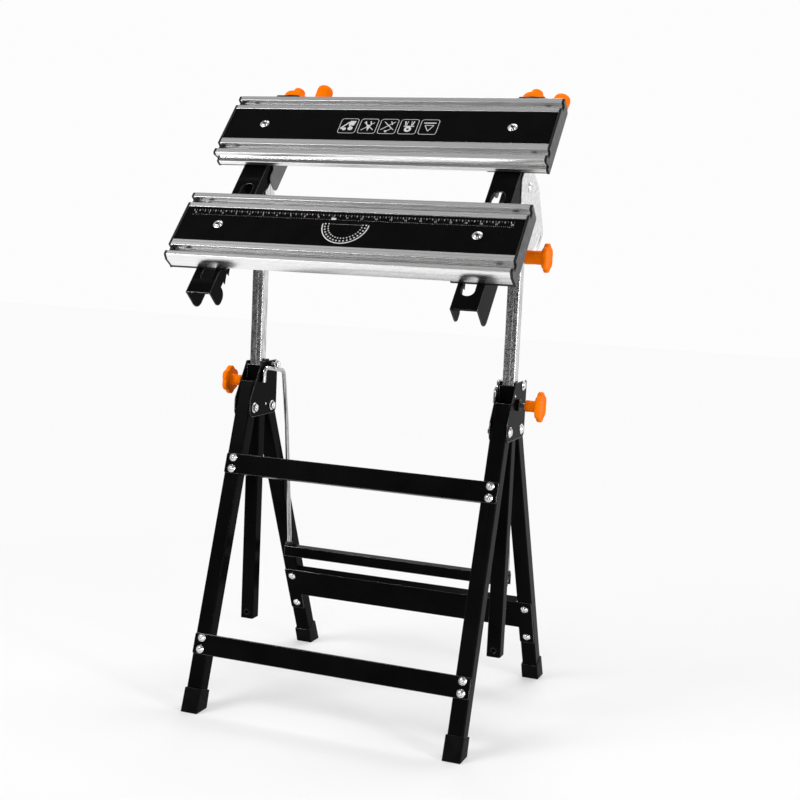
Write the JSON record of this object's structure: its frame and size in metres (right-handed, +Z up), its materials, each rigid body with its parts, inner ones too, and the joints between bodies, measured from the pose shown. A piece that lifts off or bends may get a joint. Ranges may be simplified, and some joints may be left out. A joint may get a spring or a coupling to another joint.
{
  "type": "folding workbench",
  "caption": "Folding workbench with sliding vice jaws on a tilting top, height-adjustable posts and hinged leg frames.",
  "frame": {"origin": "on the floor, midway between the leftmost and rightmost and the foremost and rearmost points", "axes": "+Z up, +X to the right along the jaws seen from the front, +Y to the rear, where the cranks are"},
  "size_m": [0.605, 0.5344, 1.11],
  "materials": {
    "black_paint": "gloss powder coat",
    "black_plastic": "moulded",
    "bright_steel": "bright zinc plate",
    "galvanised": "galvanised",
    "grey_steel": "grey zinc plate",
    "aluminium_rail": "satin anodised extrusion",
    "black_panel": "satin laminate with white print",
    "orange_plastic": "moulded"
  },
  "bodies": {
    "stand": {"centre_tube_left": "black_paint", "centre_tube_right": "black_paint", "head_bracket_left": "black_paint", "head_bracket_right": "black_paint", "clamp_collar_left": "black_paint", "clamp_collar_right": "black_paint", "front_pivot_bolts": "bright_steel", "rear_pivot_bolts": "bright_steel", "bail_bolts": "bright_steel"},
    "front_frame": {"front_leg_left": "black_paint", "front_leg_right": "black_paint", "front_foot_left": "black_plastic", "front_foot_right": "black_plastic", "front_upper_crossbar": "black_paint", "front_lower_crossbar": "black_paint", "front_crossbar_bolts": "bright_steel"},
    "rear_frame": {"rear_leg_left": "black_paint", "rear_leg_right": "black_paint", "rear_foot_left": "black_plastic", "rear_foot_right": "black_plastic", "rear_crossbar": "black_paint", "rear_crossbar_bolts": "bright_steel"},
    "lock_bail": {"lock_bar": "black_paint", "lock_rod_left": "bright_steel", "lock_rod_right": "bright_steel", "lock_rod_nuts": "black_plastic"},
    "posts": {"post_left": "galvanised", "post_right": "galvanised", "tilt_pivot_bolts": "bright_steel"},
    "top": {"beam_left": "black_paint", "beam_right": "black_paint", "tilt_plate_left": "galvanised", "tilt_plate_right": "galvanised", "screw_bearings": "black_paint", "front_jaw_rear_rail": "aluminium_rail", "front_jaw_front_rail": "aluminium_rail", "front_jaw_panel": "black_panel", "front_jaw_base": "black_plastic", "front_jaw_end_caps": "black_plastic", "front_jaw_bolts": "bright_steel"},
    "moving_jaw": {"rear_jaw_rear_rail": "aluminium_rail", "rear_jaw_front_rail": "aluminium_rail", "rear_jaw_panel": "black_panel", "rear_jaw_base": "black_plastic", "rear_jaw_end_caps": "black_plastic", "rear_jaw_bolts": "bright_steel", "carriage_left": "grey_steel", "carriage_right": "grey_steel", "side_pawls": "grey_steel"},
    "crank_arm_left": {"clamp_screw_left": "grey_steel", "crank_left": "orange_plastic"},
    "crank_grip_left": {"crank_knob_left": "orange_plastic"},
    "height_clamp_left": {"height_knob_left": "orange_plastic"},
    "tilt_clamp_left": {"tilt_knob_left": "orange_plastic"},
    "crank_arm_right": {"clamp_screw_right": "grey_steel", "crank_right": "orange_plastic"},
    "crank_grip_right": {"crank_knob_right": "orange_plastic"},
    "height_clamp_right": {"height_knob_right": "orange_plastic"},
    "tilt_clamp_right": {"tilt_knob_right": "orange_plastic"}
  },
  "joints": [
    {"name": "front_fold", "type": "hinge", "parent": "stand", "child": "front_frame", "pos_m": [0, -0.06177, 0.516], "axis": [1, 0, 0], "range_deg": [0, 16.5]},
    {"name": "rear_fold", "type": "hinge", "parent": "stand", "child": "rear_frame", "pos_m": [0, 0.00823, 0.514], "axis": [-1, 0, 0], "range_deg": [0, 20]},
    {"name": "bail_swing", "type": "hinge", "parent": "stand", "child": "lock_bail", "pos_m": [0, 0.00623, 0.59], "axis": [-1, 0, 0], "range_deg": [0, 14.2]},
    {"name": "height_slide", "type": "slide", "parent": "stand", "child": "posts", "axis": [0, 0, 1], "range_m": [-0.17, 0.03]},
    {"name": "top_tilt", "type": "hinge", "parent": "posts", "child": "top", "pos_m": [0, -0.02177, 0.925], "axis": [1, 0, 0], "range_deg": [-48.3, 0]},
    {"name": "jaw_slide", "type": "slide", "parent": "top", "child": "moving_jaw", "axis": [0, -0.6652, -0.7466], "range_m": [0, 0.095]},
    {"name": "crank_turn_left", "type": "hinge", "parent": "top", "child": "crank_arm_left", "pos_m": [-0.228, 0.07341, 1.07257], "axis": [0, -0.6652, -0.7466], "continuous": true},
    {"name": "crank_grip_spin_left", "type": "hinge", "parent": "crank_arm_left", "child": "crank_grip_left", "pos_m": [-0.18301, 0.09386, 1.08114], "axis": [0, -0.6652, -0.7466], "continuous": true},
    {"name": "height_knob_turn_left", "type": "hinge", "parent": "stand", "child": "height_clamp_left", "pos_m": [-0.29, -0.02177, 0.5585], "axis": [-1, 0, 0], "range_deg": [0, 360]},
    {"name": "tilt_knob_turn_left", "type": "hinge", "parent": "posts", "child": "tilt_clamp_left", "pos_m": [-0.29, -0.02177, 0.8095], "axis": [-1, 0, 0], "range_deg": [0, 360]},
    {"name": "crank_turn_right", "type": "hinge", "parent": "top", "child": "crank_arm_right", "pos_m": [0.228, 0.07341, 1.07257], "axis": [0, -0.6652, -0.7466], "continuous": true},
    {"name": "crank_grip_spin_right", "type": "hinge", "parent": "crank_arm_right", "child": "crank_grip_right", "pos_m": [0.26568, 0.10642, 1.06995], "axis": [0, -0.6652, -0.7466], "continuous": true},
    {"name": "height_knob_turn_right", "type": "hinge", "parent": "stand", "child": "height_clamp_right", "pos_m": [0.29, -0.02177, 0.5585], "axis": [1, 0, 0], "range_deg": [0, 360]},
    {"name": "tilt_knob_turn_right", "type": "hinge", "parent": "posts", "child": "tilt_clamp_right", "pos_m": [0.29, -0.02177, 0.8095], "axis": [1, 0, 0], "range_deg": [0, 360]}
  ],
  "couplings": [
    {"joint": "bail_swing", "follows": "rear_fold", "ratio": 0.71},
    {"joint": "crank_turn_right", "follows": "crank_turn_left", "ratio": 1}
  ]
}
